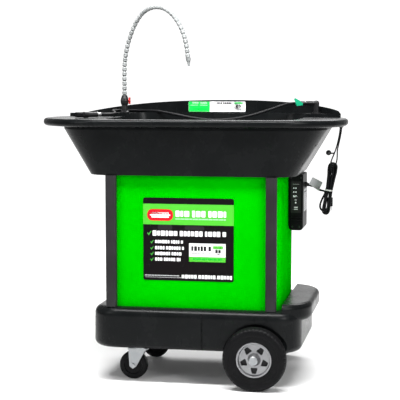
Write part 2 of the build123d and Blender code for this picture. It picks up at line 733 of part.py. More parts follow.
with BuildPart() as housing:
    extrude(box_section(0, box_back), amount=box_back - box_seam)
    fillet(housing.faces().sort_by(Axis.Y)[-1].edges(), 4)
    extrude(box_section(4, box_back - 4), amount=box_back - box_seam - 4, mode=Mode.SUBTRACT)
    with BuildSketch(Plane.YZ.offset(box_right - 10)):
        with Locations((gland_y, gland_z)):
            Circle(6.5)
    extrude(amount=20, mode=Mode.SUBTRACT)
save(housing.part, "control_housing")

with BuildPart() as cover:
    extrude(box_section(0, box_seam), amount=box_seam - box_front)
    fillet(cover.faces().sort_by(Axis.Y)[0].edges(), 5)
    extrude(box_section(4, box_seam), amount=box_seam - box_front - 5, mode=Mode.SUBTRACT)
    # two ridges across the lower half
    with BuildSketch(Plane.XZ.offset(-box_front)):
        with Locations((425, 642), (425, 654)):
            Rectangle(44, 4)
    extrude(amount=2)
    # screw seats
    with BuildSketch(Plane.XZ.offset(-box_front)):
        with Locations((404, 818), (446, 818), (410, 616), (440, 616)):
            Circle(3.5)
    extrude(amount=-1.5, mode=Mode.SUBTRACT)
save(cover.part, "control_cover")

with BuildPart() as screws:
    for x, z in ((404, 818), (446, 818), (410, 616), (440, 616)):
        with BuildSketch(Plane.XZ.offset(-box_front - 1.5)):
            with Locations((x, z)):
                Circle(3.4)
        extrude(amount=2.2)
save(screws.part, "cover_screws")

panel_front = box_front - 0.8
with BuildPart() as panel:
    with BuildSketch(Plane.XZ.offset(-box_front)):
        with Locations((425, 739)):
            RectangleRounded(42, 130, 3)
    extrude(amount=0.8)
save(panel.part, "control_panel")

with BuildPart() as lamps:
    for x, z in [(416 + 9 * column, 776 - 16 * row) for column in range(2) for row in range(3)]:
        with BuildSketch(Plane.XZ.offset(-panel_front)):
            with Locations((x, z)):
                Circle(2.6)
        extrude(amount=1.4)
save(lamps.part, "indicator_lamps")

with BuildPart() as box_label:
    with BuildSketch(Plane.YZ.offset(box_right)):
        with Locations((78, 722)):
            RectangleRounded(104, 92, 4)
    extrude(amount=0.5)
save(box_label.part, "box_label")

gland_end = box_right + gland_length
with BuildPart() as gland:
    for radius, low, high in ((6.4, -8, 0), (11, 0, 9), (7, 9, gland_length)):
        with BuildSketch(Plane.YZ.offset(box_right + low)):
            with Locations((gland_y, gland_z)):
                Circle(radius)
        extrude(amount=high - low)
    with BuildSketch(Plane.YZ.offset(box_right - 8)):
        with Locations((gland_y, gland_z)):
            Circle(cord_radius)
    extrude(amount=8 + gland_length - 6, mode=Mode.SUBTRACT)
save(gland.part, "cord_gland")

# ---- cord, hank and hanger ----
hank_dir = (hank_high - hank_low).normalized()
hank_across = Vector(hank_dir.Z, 0, -hank_dir.X)
hank_top_end = (hank_high - hank_low).length


def along_hank(distance, across=0, depth=0):
    return hank_low + hank_dir * distance + hank_across * across + Vector(0, depth, 0)


with BuildPart() as hank:
    plane = Plane(origin=hank_low - Vector(0, hank_depth / 2, 0), x_dir=hank_across, z_dir=(0, 1, 0))
    side = -1 if plane.y_dir.Z < 0 else 1
    with BuildSketch(plane):
        with BuildLine():
            half, end = hank_width / 2, hank_top_end
            outline = [(-0.62 * half, 12), (-0.5 * half, 95), (-half, end - 40), (-0.7 * half, end - 6), (0, end),
                       (0.7 * half, end - 6), (half, end - 40), (0.5 * half, 95), (0.62 * half, 12), (0, 0)]
            Polyline(*[(across, side * up) for across, up in outline], close=True)
        make_face()
    extrude(amount=hank_depth)
    fillet(hank.edges().filter_by(Axis.Y), 6)
    fillet(hank.faces().sort_by(Axis.Y)[0].edges(), 6)
save(hank.part, "cord_hank")

entry = along_hank(96, -0.5 * hank_width / 2, 0)
cord_route = [(gland_end, gland_y, gland_z), (gland_end + 18, gland_y - 3, gland_z - 7),
              (gland_end + 36, 44, 768), (524, 22, 763), tuple(entry)]
save(tube(cord_route, cord_radius), "power_cord")

with BuildPart() as tie:
    with BuildSketch(Plane(origin=along_hank(102), x_dir=hank_across, z_dir=hank_dir)):
        RectangleRounded(hank_width * 0.62 + 4, hank_depth + 5, 8)
    extrude(amount=7)
    add(hank.part, mode=Mode.SUBTRACT)
save(tie.part, "cord_tie")

tag_middle = Vector(500, 50, 792)
with BuildPart() as tag:
    with BuildSketch(Plane(origin=tag_middle, x_dir=(0.883, 0, -0.469), z_dir=(0, -1, 0))):
        RectangleRounded(48, 34, 4)
    extrude(amount=0.6)
save(tag.part, "cord_tag")

with BuildPart() as plug:
    plug_top = along_hank(70, 6, hank_depth / 2 + 10)
    with BuildSketch(Plane(origin=plug_top, z_dir=(0, 0, -1))):
        RectangleRounded(24, 19, 6)
    extrude(amount=36)
    with BuildSketch(Plane(origin=plug_top, z_dir=(0, 0, 1))):
        Circle(6)
    extrude(amount=22)
    with BuildSketch(Plane(origin=plug_top - Vector(0, 0, 36), z_dir=(0, 0, -1))):
        with Locations((-6, 3), (6, 3)):
            Rectangle(1.6, 6)
        with Locations((0, -5)):
            Circle(2.4)
    extrude(amount=18)
save(plug.part, "cord_plug")

hanger_x = 606
hanger_foot = Vector(581, 0, hank_high.Z + 1)
strap_route = [(hanger_x, 0, rim_bottom + 11), (hanger_x - 1, 0, 1012), (596, 0, 968), (586, 0, 926),
               tuple(hanger_foot)]
save(tube(strap_route, 3), "hang_strap")

with BuildPart() as toggle:
    with Locations((556, 0, 922)):
        Sphere(11)
    with BuildSketch(Plane.YZ.offset(560)):
        with Locations((0, 920)):
            Circle(3)
    extrude(amount=18)
save(toggle.part, "strap_toggle")

with BuildPart() as eyelet:
    with BuildSketch(Plane.XY.offset(rim_bottom)):
        with Locations((hanger_x, 0)):
            Circle(9)
            Circle(3.6, mode=Mode.SUBTRACT)
    extrude(amount=-5)
save(eyelet.part, "rim_eyelet")

# ---- feed hoses from the pump up through the hollows in the sink ----
save(Compound(children=[tube(feed_left, feed_radius), tube(feed_right, feed_radius)]), "feed_hoses")
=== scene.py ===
import json
import math
import bpy
import numpy as np
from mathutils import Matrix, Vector


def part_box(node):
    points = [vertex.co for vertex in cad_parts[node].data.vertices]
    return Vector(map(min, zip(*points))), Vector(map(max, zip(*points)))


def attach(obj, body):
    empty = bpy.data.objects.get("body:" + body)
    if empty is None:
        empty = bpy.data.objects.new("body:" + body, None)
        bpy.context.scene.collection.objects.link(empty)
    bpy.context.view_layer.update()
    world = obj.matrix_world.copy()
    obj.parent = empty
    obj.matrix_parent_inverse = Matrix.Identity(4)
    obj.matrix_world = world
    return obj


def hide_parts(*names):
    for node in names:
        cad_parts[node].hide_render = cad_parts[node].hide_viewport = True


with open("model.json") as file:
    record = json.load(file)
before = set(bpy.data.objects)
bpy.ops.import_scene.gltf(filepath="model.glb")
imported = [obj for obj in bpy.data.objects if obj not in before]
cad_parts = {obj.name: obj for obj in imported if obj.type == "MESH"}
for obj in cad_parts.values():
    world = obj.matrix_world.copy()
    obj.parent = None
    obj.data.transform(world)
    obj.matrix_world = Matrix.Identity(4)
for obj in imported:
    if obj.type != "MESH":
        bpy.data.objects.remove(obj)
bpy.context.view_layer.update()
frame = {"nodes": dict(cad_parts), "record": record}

# Mobile parts washer. Units are metres: +X to the control box, +Y to the back, +Z up.
mm = 0.001
record = frame["record"]

# ---- camera ----
view = {"aim": (0.0211, 0.0, 0.7186), "distance": 5.349, "azimuth": 10.68, "elevation": 5.39, "lens": 115.2}


def placeCamera():
    turn, lift = math.radians(view["azimuth"]), math.radians(view["elevation"])
    back = Vector((math.sin(turn) * math.cos(lift), -math.cos(turn) * math.cos(lift), math.sin(lift)))
    data = bpy.data.cameras.new("studioCamera")
    data.lens, data.sensor_width = view["lens"], 36.0
    data.clip_start, data.clip_end = 0.1, 60.0
    camera = bpy.data.objects.new("studioCamera", data)
    bpy.context.scene.collection.objects.link(camera)
    camera.location = Vector(view["aim"]) + back * view["distance"]
    camera.rotation_euler = (-back).to_track_quat("-Z", "Y").to_euler()
    bpy.context.scene.camera = camera


placeCamera()
print("camera placed")


# ---- shader helpers ----
class Val:
    # one shader output, with + - * adding Math nodes
    def __init__(self, finish, out):
        self.finish, self.out = finish, out

    def math(self, operation, *others, flip=False):
        args = [*others, self] if flip else [self, *others]
        return self.finish.node("ShaderNodeMath", {"operation": operation}, dict(enumerate(args)))

    def __add__(self, other): return self.math("ADD", other)
    def __radd__(self, other): return self.math("ADD", other, flip=True)
    def __sub__(self, other): return self.math("SUBTRACT", other)
    def __rsub__(self, other): return self.math("SUBTRACT", other, flip=True)
    def __mul__(self, other): return self.math("MULTIPLY", other)
    def __rmul__(self, other): return self.math("MULTIPLY", other, flip=True)

    def ramp(self, low, high, outLow=0.0, outHigh=1.0):
        # smooth step from outLow at low to outHigh at high
        return self.finish.node("ShaderNodeMapRange", {"interpolation_type": "SMOOTHSTEP"},
                                {0: self, 1: low, 2: high, 3: outLow, 4: outHigh})


class Finish:
    # one procedural material on a Principled shader
    def __init__(self, name, **constants):
        self.material = bpy.data.materials.new(name)
        self.material.use_nodes = True
        self.tree = self.material.node_tree
        self.tree.nodes.clear()
        output = self.tree.nodes.new("ShaderNodeOutputMaterial")
        self.shader = self.tree.nodes.new("ShaderNodeBsdfPrincipled")
        self.tree.links.new(self.shader.outputs[0], output.inputs[0])
        self.place = self.node("ShaderNodeTexCoord", {}, {}, "Object")
        self.set(**constants)

    def node(self, kind, settings, values, output=0):
        made = self.tree.nodes.new(kind)
        for key, value in settings.items():
            setattr(made, key, value)
        for key, value in values.items():
            self.feed(made.inputs[key], value)
        return Val(self, made.outputs[output])

    def feed(self, socket, value):
        if isinstance(value, Val):
            self.tree.links.new(value.out, socket)
        elif isinstance(value, tuple) and len(value) == 3 and len(getattr(socket, "default_value", ())) == 4:
            socket.default_value = (*value, 1.0)
        else:
            socket.default_value = value

    def set(self, **values):
        # underscores stand for the spaces in a socket's name
        for key, value in values.items():
            self.feed(self.shader.inputs[key.replace("_", " ")], value)
        return self

    def noise(self, scale, detail=3.0, rough=0.55, stretch=None):
        where = self.place
        if stretch:
            where = self.node("ShaderNodeMapping", {}, {"Vector": where, "Scale": stretch})
        return self.node("ShaderNodeTexNoise", {}, {"Vector": where, "Scale": scale, "Detail": detail,
                                                    "Roughness": rough}, 0)

    def cells(self, scale):
        return self.node("ShaderNodeTexVoronoi", {"feature": "F1"}, {"Vector": self.place, "Scale": scale}, 0)

    def axis(self, name):
        return self.node("ShaderNodeSeparateXYZ", {}, {0: self.place}, name)

    def mix(self, share, first, second):
        return self.node("ShaderNodeMix", {"data_type": "RGBA"}, {0: share, 6: first, 7: second}, 2)

    def attribute(self, name):
        return self.node("ShaderNodeAttribute", {"attribute_name": name}, {}, "Color")

    def bump(self, height, strength=0.2, distance=0.0006):
        normal = self.node("ShaderNodeBump", {},
                           {"Strength": strength, "Distance": distance, "Height": height})
        return self.set(Normal=normal)


def moulded(name, dark, light, rough, grain=1500.0, strength=0.16, mottle=9.0, **more):
    # moulded plastic: slow colour drift, fine pebble grain, faint scuffs that change the gloss
    finish = Finish(name, **more)
    drift = finish.noise(mottle, 4.0, 0.6).ramp(0.35, 0.68)
    pebble = finish.noise(grain, 2.0, 0.5)
    scuff = finish.noise(42.0, 5.0, 0.7, stretch=(1.0, 1.0, 0.35)).ramp(0.56, 0.74)
    finish.set(Base_Color=finish.mix(drift * 0.8 + scuff * 0.2, dark, light),
               Roughness=rough + drift * 0.05 + scuff * 0.07)
    finish.bump(pebble + finish.noise(160.0, 2.0) * 0.6, strength)
    return finish.material


def metal(name, dark, light, rough, brush=(1.0, 1.0, 12.0), scale=160.0, **more):
    # bare or plated metal: fine directional brushing and blotches of dulling
    finish = Finish(name, Metallic=1.0, **more)
    lines = finish.noise(scale, 3.0, 0.6, stretch=brush)
    dull = finish.noise(24.0, 4.0, 0.6).ramp(0.4, 0.7)
    finish.set(Base_Color=finish.mix(dull * 0.6 + lines * 0.4, dark, light), Roughness=rough + dull * 0.12)
    finish.bump(lines, 0.1, 0.0003)
    return finish.material


def rubber(name, dark, light, rough, dust=0.35, scale=700.0):
    # rubber: fine matt tooth and a little pale dust in patches
    finish = Finish(name, Specular_IOR_Level=0.07)
    patches = finish.noise(26.0, 5.0, 0.65).ramp(0.5, 0.78)
    tooth = finish.noise(scale, 2.0)
    finish.set(Base_Color=finish.mix(patches * dust + tooth * 0.2, dark, light),
               Roughness=rough + patches * 0.12)
    finish.bump(tooth, 0.2, 0.0003)
    return finish.material


def printed(name, rough):
    # printed vinyl: inks come from the piece's own colour attribute
    finish = Finish(name, IOR=1.12)
    ink = finish.attribute("inkColour")
    wear = finish.noise(60.0, 5.0, 0.7).ramp(0.62, 0.8)
    finish.set(Base_Color=finish.mix(wear * 0.06, ink, (0.4, 0.4, 0.4)), Roughness=rough + wear * 0.15)
    finish.bump(finish.noise(400.0, 2.0), 0.05, 0.0002)
    return finish.material


finishes = {
    "black_plastic": moulded("sinkBlack", (0.0035, 0.0041, 0.0044), (0.006, 0.0067, 0.007), 0.24,
                             Specular_IOR_Level=0.1),
    "green_plastic": moulded("tankGreen", (0.0, 0.40, 0.0), (0.0, 0.44, 0.0), 0.5, mottle=5.0, strength=0.08,
                             Specular_IOR_Level=0.0),
    "post_coat": moulded("postGrey", (0.013, 0.0125, 0.0135), (0.02, 0.0195, 0.021), 0.4, grain=2600.0,
                         strength=0.12, Specular_IOR_Level=0.2),
    "tyre_rubber": rubber("tyreRubber", (0.004, 0.004, 0.0045), (0.012, 0.012, 0.012), 0.42, 0.4),
    "zinc_steel": metal("zincPlate", (0.26, 0.27, 0.28), (0.42, 0.43, 0.44), 0.34),
    "caster_rubber": rubber("casterRubber", (0.004, 0.004, 0.0045), (0.012, 0.012, 0.012), 0.4, 0.3),
    "label_vinyl": printed("labelPrint", 0.4),
    "splash_vinyl": printed("splashPrint", 0.4),
    "grey_label": printed("greyPrint", 0.5),
    "fitting_plastic": moulded("fittingBlack", (0.006, 0.006, 0.0065), (0.016, 0.016, 0.017), 0.3,
                               strength=0.08, Specular_IOR_Level=0.35),
    "bead_plastic": moulded("beadGrey", (0.20, 0.21, 0.21), (0.29, 0.30, 0.30), 0.36, strength=0.06,
                            mottle=40.0),
    "red_plastic": moulded("knobRed", (0.42, 0.006, 0.006), (0.55, 0.012, 0.01), 0.34, strength=0.06),
    "handle_plastic": moulded("handleTeal", (0.0, 0.27, 0.13), (0.004, 0.36, 0.17), 0.36, strength=0.06),
    "hose_rubber": rubber("hoseBlack", (0.008, 0.008, 0.009), (0.022, 0.022, 0.023), 0.34, 0.3, 1600.0),
    "bristle": rubber("bristleBlack", (0.01, 0.01, 0.011), (0.04, 0.04, 0.04), 0.4, 0.5, 3000.0),
    "ferrule_metal": metal("ferruleSteel", (0.68, 0.68, 0.68), (0.85, 0.85, 0.85), 0.22),
    "box_plastic": moulded("boxBlack", (0.004, 0.004, 0.0045), (0.008, 0.008, 0.0085), 0.28, strength=0.05,
                           Specular_IOR_Level=0.05),
    "cord_rubber": rubber("cordBlack", (0.007, 0.007, 0.008), (0.02, 0.02, 0.021), 0.38, 0.3, 1600.0),
    "tie_wire": moulded("tieWhite", (0.62, 0.62, 0.60), (0.78, 0.78, 0.76), 0.4, strength=0.1),
    "strap_elastic": rubber("strapBlack", (0.008, 0.008, 0.009), (0.05, 0.05, 0.05), 0.6, 0.5, 2600.0),
    "stainless": metal("stainless", (0.5, 0.5, 0.49), (0.66, 0.66, 0.65), 0.28),
    "pump_plastic": moulded("pumpGrey", (0.05, 0.055, 0.06), (0.09, 0.095, 0.1), 0.45),
}


def lampFinish():
    finish = Finish("lampLens", Emission_Strength=0.25)
    facet = finish.cells(900.0).ramp(0.0, 0.6)
    colour = finish.mix(facet, (0.85, 0.87, 0.88), (0.62, 0.66, 0.68))
    finish.set(Base_Color=colour, Emission_Color=colour, Roughness=0.25 + facet * 0.1)
    finish.bump(facet, 0.2, 0.0002)
    return finish.material


def feltFinish():
    # felt: tangled fibres as stretched noise two ways, grey-green, quite matt
    finish = Finish("filterFelt", Sheen_Weight=0.3)
    fibres = (finish.noise(900.0, 4.0, 0.7, stretch=(1.0, 0.12, 1.0))
              + finish.noise(900.0, 4.0, 0.7, stretch=(0.12, 1.0, 1.0))) * 0.5
    finish.set(Base_Color=finish.mix(fibres.ramp(0.35, 0.65), (0.16, 0.16, 0.14), (0.42, 0.41, 0.37)),
               Roughness=0.86 + fibres * 0.1)
    finish.bump(fibres, 0.7, 0.0012)
    return finish.material


def sleeveFinish():
    # pale heat-shrink sleeve over the cord, slightly blotchy
    finish = Finish("sleevePale")
    blotch = finish.noise(220.0, 4.0, 0.6).ramp(0.4, 0.65)
    finish.set(Base_Color=finish.mix(blotch, (0.5, 0.5, 0.5), (0.7, 0.7, 0.7)), Roughness=0.3 + blotch * 0.15)
    finish.bump(blotch, 0.2, 0.0003)
    return finish.material


def hubFinish():
    # cast alloy: bright on the spokes and rims, rough in the pockets, with painted shade darkening the
    # pockets; the two are told apart by depth from the hub's middle
    finish = Finish("hubCast", Metallic=0.9)
    depth = (finish.axis("Y").math("ABSOLUTE") - 0.337).math("ABSOLUTE")
    unshadedFace = depth.ramp(0.0045, 0.0095)
    cast = finish.noise(500.0, 3.0)
    bright = finish.mix(cast, (0.2, 0.2, 0.21), (0.34, 0.34, 0.35))
    # painted shade: the pockets get a near-black colour, the spoke faces keep the cast metal colour
    finish.set(Base_Color=finish.mix(unshadedFace, (0.03, 0.03, 0.031), bright),
               Roughness=0.58 - unshadedFace * 0.24 + cast * 0.06)
    finish.bump(cast, 0.25, 0.0003)
    return finish.material


finishes["hub_metal"] = hubFinish()
finishes["lamp_lens"] = lampFinish()
finishes["filter_felt"] = feltFinish()
sleevePale = sleeveFinish()
print("finishes made:", len(finishes))


# ---- mesh helpers ----
def quadGrid(rows, columns, wrapRows=False, wrapColumns=False):
    # vertex numbers of every quad on a rows by columns grid
    i = np.arange(rows if wrapRows else rows - 1)[:, None]
    j = np.arange(columns if wrapColumns else columns - 1)[None, :]
    nextI, nextJ = (i + 1) % rows, (j + 1) % columns
    corners = [i * columns + j, i * columns + nextJ, nextI * columns + nextJ, nextI * columns + j]
    return np.stack([c + 0 * i + 0 * j for c in corners], -1).reshape(-1, 4)


def meshPiece(name, points, faces, slot, body="washer", smooth=True, material=None, swaps=()):
    mesh = bpy.data.meshes.new(name)
    corners = np.asarray(points, float).reshape(-1, 3).tolist()
    mesh.from_pydata(corners, [], [list(map(int, f)) for f in faces])
    mesh.polygons.foreach_set("use_smooth", np.full(len(mesh.polygons), smooth))
    mesh.materials.append(material or finishes[slot])
    mesh.update()
    piece = bpy.data.objects.new(name, mesh)
    bpy.context.scene.collection.objects.link(piece)
    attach(piece, body)
    if swaps:
        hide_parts(*swaps)
    return piece


def unit(vectors):
    vectors = np.asarray(vectors, float)
    return vectors / np.linalg.norm(vectors, axis=-1, keepdims=True)


def pathFrames(path, lean=(0.21, 0.13, 1.0)):
    # along, side and up directions at each point of a path, from one leaning reference direction
    along = unit(np.gradient(path, axis=0))
    side = unit(np.cross(along, np.asarray(lean, float)))
    return along, side, np.cross(side, along)


def endFans(rows, sides):
    # triangles that close both ends of rows rings of points, whose two middle points come after the rings
    j = np.arange(sides)
    first = np.stack([np.full(sides, rows * sides), (j + 1) % sides, j], -1)
    last = np.stack([np.full(sides, rows * sides + 1), (rows - 1) * sides + j,
                     (rows - 1) * sides + (j + 1) % sides], -1)
    return first[:, ::-1], last[:, ::-1]


def tubeMesh(path, radii, sides=20):
    # closed tube: at each path point a circle of that radius in the plane across the path, with end points
    along, side, up = pathFrames(path)
    around = np.linspace(0, 2 * math.pi, sides, endpoint=False)
    ring = side[:, None] * np.cos(around)[None, :, None] + up[:, None] * np.sin(around)[None, :, None]
    points = path[:, None] + ring * np.asarray(radii, float)[:, None, None]
    count = len(path)
    faces = quadGrid(count, sides, wrapColumns=True)
    points = np.vstack([points.reshape(-1, 3), path[:1], path[-1:]])
    first, last = endFans(count, sides)
    return points, [*faces[:, ::-1], *first, *last]


# ---- cords and hoses ----
def nurbsCord(name, route, diameter, slot, swaps):
    curve = bpy.data.curves.new(name, "CURVE")
    curve.dimensions = "3D"
    line = curve.splines.new("NURBS")
    line.points.add(len(route) - 1)
    line.points.foreach_set("co", np.c_[np.asarray(route, float), np.ones(len(route))].ravel())
    # the thickness sits in the points, so that the curve's box is the cord's own box
    line.points.foreach_set("radius", np.full(len(route), diameter / 2))
    line.order_u = 3
    line.use_endpoint_u = True
    line.resolution_u = 8
    curve.bevel_depth, curve.bevel_resolution, curve.use_fill_caps = 1.0, 4, True
    curve.materials.append(finishes[slot])
    piece = bpy.data.objects.new(name, curve)
    bpy.context.scene.collection.objects.link(piece)
    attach(piece, "washer")
    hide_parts(*swaps)
    return piece


def cordLine(piece):
    # the points of the cord's own smooth line, read back from the curve with its thickness off
    depth = piece.data.bevel_depth
    piece.data.bevel_depth = 0.0
    bpy.context.view_layer.update()
    mesh = bpy.data.meshes.new_from_object(piece)
    points = np.array([v.co for v in mesh.vertices], float)
    bpy.data.meshes.remove(mesh)
    piece.data.bevel_depth = depth
    return points


def lineLength(points):
    return float(np.linalg.norm(np.diff(points, axis=0), axis=1).sum())


def partOfLine(points, start, end, count=24):
    # evenly spaced points between two distances along a line
    gone = np.r_[0, np.cumsum(np.linalg.norm(np.diff(points, axis=0), axis=1))]
    at = np.linspace(start, end, count)
    return np.stack([np.interp(at, gone, points[:, k]) for k in range(3)], -1)


brushHose = {"diameter": 0.010, "length": 1.177,
             "route": [(-393.15, -47.51, 1074.8), (-372.58, -23.0, 1074.8), (-358, 42, 1075.5),
                       (-366, 98, 1078), (-388, 152, 1084), (-408, 208, 1085), (-398, 258, 1085),
                       (-350, 281, 1085), (-292, 284, 1085), (-236, 262, 1084), (-176, 222, 1078),
                       (-104, 180, 1066), (-28, 142, 1054), (62, 118, 1047), (142, 128, 1053),
                       (208, 150, 1066), (262, 172, 1083), (308, 192, 1099), (345, 205, 1112),
                       (368, 212, 1119), (392, 212, 1120)]}
powerCord = {"diameter": 0.008, "exit": (482, 60, 786),
             "leadIn": [(476, 60, 786), (492, 57, 779), (510, 44, 768), (524, 24, 765), (538, 9, 765)],
             # the first turn hangs out at the lower left: up, across, depth
             "looseLoop": [(90, -13, 3), (66, -21, 1), (42, -27, 0.5), (25, -26, 0.5), (15, -17, 0.5),
                           (12, -5, 0.5), (16, 6, 0.5), (30, 10, 0.5), (56, 9, 0.5), (100, 10.3, 0.5),
                           (146, 13, 0.5)],
             # the last turn leaves at the back, goes up and over the top, and down into the plug
             "toPlug": [(132, 12, 10), (162, 14, 12), (186, 13, 14), (200, 9, 16), (205, 1, 18),
                        (199, -7, 20.5), (184, -10, 23), (162, -6, 25), (136, 2, 25.5), (112, 5.6, 25),
                        (92, 6.1, 25)],
             "hankLow": (544, 0, 668), "hankHigh": (578, 0, 888), "waist": 100,
             # per turn: depth, half width at top, waist and bottom, top end, bottom end, sideways drift of
             # top and of bottom
             "turns": [(0.5, 15.5, 10.3, 10, 206, 14, 1.0, 1.0), (-8.4, 17, 10, 12.5, 214, 4, 0.0, 1.0),
                       (-8.2, 9, 4.2, 8, 196, 18, -4.5, -3.0), (0.4, 8.5, 4.0, 8, 200, 12, 4.0, 3.5),
                       (8.3, 9, 4.2, 8, 198, 10, -3.0, 2.0), (8.5, 16.5, 10.2, 12, 210, 7, 1.0, 0.0)]}
hangStrap = {"diameter": 0.0055}


def hankPoint(up, across, depth):
    low, high = np.array(powerCord["hankLow"], float), np.array(powerCord["hankHigh"], float)
    along = unit(high - low)
    sideways = np.array([along[2], 0, -along[0]])
    return low + along * up + sideways * across + np.array([0, depth, 0])


def hankRoute():
    # each turn goes down the left, round the bottom, up the right and over the top, and drifts in depth
    route = [np.array(p, float) for p in powerCord["leadIn"]]
    waist, turns = powerCord["waist"], powerCord["turns"]
    foldStart, waistEnd = 11, 10
    for k, (depth, top, middle, bottom, high, low, topDrift, lowDrift) in enumerate(turns):
        later = turns[k + 1][0] if k + 1 < len(turns) else depth
        shape = [(waist + 46, -top * 0.72 + topDrift * 0.9, 0), (waist, -middle, 0),
                 (waist - 44, -bottom * 0.95 + lowDrift * 0.5, 0), (low + 16, -bottom * 1.1 + lowDrift, 0),
                 (low + 3, -bottom * 0.8 + lowDrift, 0), (low - 1, lowDrift, 0),
                 (low + 3, bottom * 0.8 + lowDrift, 0), (low + 16, bottom * 1.1 + lowDrift, 0),
                 (waist - 44, bottom * 0.95 + lowDrift * 0.5, 0), (waist, middle, 0),
                 (waist + 46, top * 0.72 + topDrift * 0.9, 0), (high - 20, top * 1.05 + topDrift, 0.1),
                 (high - 3, top * 0.8 + topDrift, 0.3), (high + 2, topDrift, 0.5),
                 (high - 3, -top * 0.8 + topDrift, 0.7), (high - 20, -top * 1.05 + topDrift, 0.9)]
        if k == 0:
            # the loose loop takes the place of the first turn up to its top fold
            route += [hankPoint(*p) for p in powerCord["looseLoop"]]
            shape = shape[foldStart:]
        if k + 1 == len(turns):
            shape = shape[:waistEnd]
        route += [hankPoint(up, across, depth + share * (later - depth)) for up, across, share in shape]
    route += [hankPoint(*p) for p in powerCord["toPlug"]]
    return np.array(route) * mm


hose = nurbsCord("brushHoseLine", np.array(brushHose["route"]) * mm, brushHose["diameter"], "hose_rubber",
                 ["brush_hose"])
mains = nurbsCord("powerCordLine", hankRoute(), powerCord["diameter"], "cord_rubber",
                  ["power_cord", "cord_hank"])
mainsLine = cordLine(mains)
print("mains cord", round(lineLength(mainsLine), 3), "hose", round(lineLength(cordLine(hose)), 3))

# strap: down from the eyelet, one strand each side of the hank's top folds, joined under them
strapRoute = [(603, -0.5, 1038), (602.5, -0.5, 1014), (594, -1.0, 968), (585, -2.0, 934), (575, -8, 908),
              (566, -17, 884), (566, -19, 862), (570, -16, 845), (571.5, -6, 838), (572, 6, 838),
              (574, 16, 845), (580, 19, 862), (588, 17, 884), (591, 8, 908), (591, 2.0, 934), (599, 1.0, 968),
              (608, 0.5, 1014), (609, 0.5, 1038)]
strap = nurbsCord("hangStrapLine", np.array(strapRoute) * mm, hangStrap["diameter"], "strap_elastic",
                  ["hang_strap"])
strapLength = lineLength(cordLine(strap))
print("strap", round(strapLength, 3))

# strain relief: ribbed nut and a taper with grooves, turned about the cord's exit
relief = {"start": 454, "length": 34, "y": 60, "z": 786}


def strainRelief():
    at = np.linspace(0, relief["length"], 70)
    nut = (at < 9) * 11.0
    taper = 7.6 - 2.6 * np.clip((at - 9) / (relief["length"] - 9), 0, 1)
    ribs = 0.55 * (np.sin((at - 9) * 2 * math.pi / 3.6) < 0) * (at > 12) * (at < relief["length"] - 3)
    radii = np.where(at < 9, nut, taper - ribs)
    radii[0] = 10.4
    path = np.stack([relief["start"] + at, np.full(70, relief["y"]), relief["z"] - 0.006 * at ** 2], -1)
    points, faces = tubeMesh(path * mm, radii * mm, 36)
    return meshPiece("cordStrainRelief", points, faces, "fitting_plastic", smooth=False, swaps=["cord_gland"])


reliefPiece = strainRelief()
# pale sleeve over the first stretch of the cord
points, faces = tubeMesh(partOfLine(mainsLine, 0.012, 0.062), np.full(24, 0.0050), 20)
sleeve = meshPiece("cordSleeve", points, faces, "grey_label", material=sleevePale)


# twist tie: two and a half flat turns round the waist with a short twisted tail
def twistTie():
    share = np.linspace(0, 1, 220)
    turn = share * 2 * math.pi * 2.5 + 0.4
    middle = hankPoint(powerCord["waist"] + 2, 0, 0)
    low, high = np.array(powerCord["hankLow"], float), np.array(powerCord["hankHigh"], float)
    along = unit(high - low)
    sideways = np.array([along[2], 0, -along[0]])
    outline = (np.abs(np.cos(turn)) ** 3 + np.abs(np.sin(turn)) ** 3) ** (-1 / 3)
    path = (middle + sideways * (np.cos(turn) * outline * 15.4)[:, None]
            + np.array([0, 1, 0]) * (np.sin(turn) * outline * 14.4)[:, None]
            + along * ((share - 0.5) * 7)[:, None])
    return tubeMesh(path * mm, np.full(220, 0.0013), 8)


points, faces = twistTie()
tiePiece = meshPiece("cordTwistTie", points, faces, "tie_wire", swaps=["cord_tie"])
print("cord pieces made")


# ---- printed pieces ----
inks = {"black": (0.006, 0.005, 0.0055), "band": (0.075, 0.46, 0.035), "white": (0.86, 0.86, 0.86),
        "red": (0.62, 0.01, 0.02), "tick": (0.06, 0.36, 0.05), "grey": (0.42, 0.42, 0.43),
        "pale": (0.62, 0.63, 0.64), "dark": (0.02, 0.02, 0.02), "shade": (0.02, 0.018, 0.02),
        "bright": (0.01, 0.60, 0.07), "deep": (0.0, 0.40, 0.04), "mint": (0.42, 0.86, 0.48)}


def roundedShape(x, y, w, h, r, steps=5):
    # corner arcs of radius r round a w by h rectangle centred on x, y
    r = max(min(r, w / 2 - 1e-6, h / 2 - 1e-6), 0.01)
    angle = (np.arange(4)[:, None] * 90 + np.linspace(0, 90, steps)[None, :]).ravel() * math.pi / 180
    signX, signY = np.repeat([1, -1, -1, 1], steps), np.repeat([1, 1, -1, -1], steps)
    return np.stack([x + signX * (w / 2 - r) + r * np.cos(angle),
                     y + signY * (h / 2 - r) + r * np.sin(angle)], -1)


def tickShape(x, y, size):
    shape = np.array([(-0.5, 0.05), (-0.32, 0.2), (-0.12, -0.12), (0.42, 0.6), (0.55, 0.5), (-0.1, -0.5)])
    return np.array([x, y]) + shape[::-1] * size


def greekLine(x, y, width, height, ink, seed, words=(3, 7)):
    # a row of plain blocks of uneven width, with wider gaps now and then
    rng = np.random.default_rng(seed)
    shapes, at = [], 0.0
    run, left = 0, rng.integers(*words)
    while at < width - height * 0.3:
        block = min(height * rng.uniform(0.42, 0.78), width - at)
        shapes.append((roundedShape(x + at + block / 2, y, block, height * rng.uniform(0.86, 1.0),
                                    height * 0.12),
                       ink))
        at += block + height * 0.14
        run += 1
        if run >= left:
            at += height * 0.3
            run, left = 0, rng.integers(*words)
    return shapes


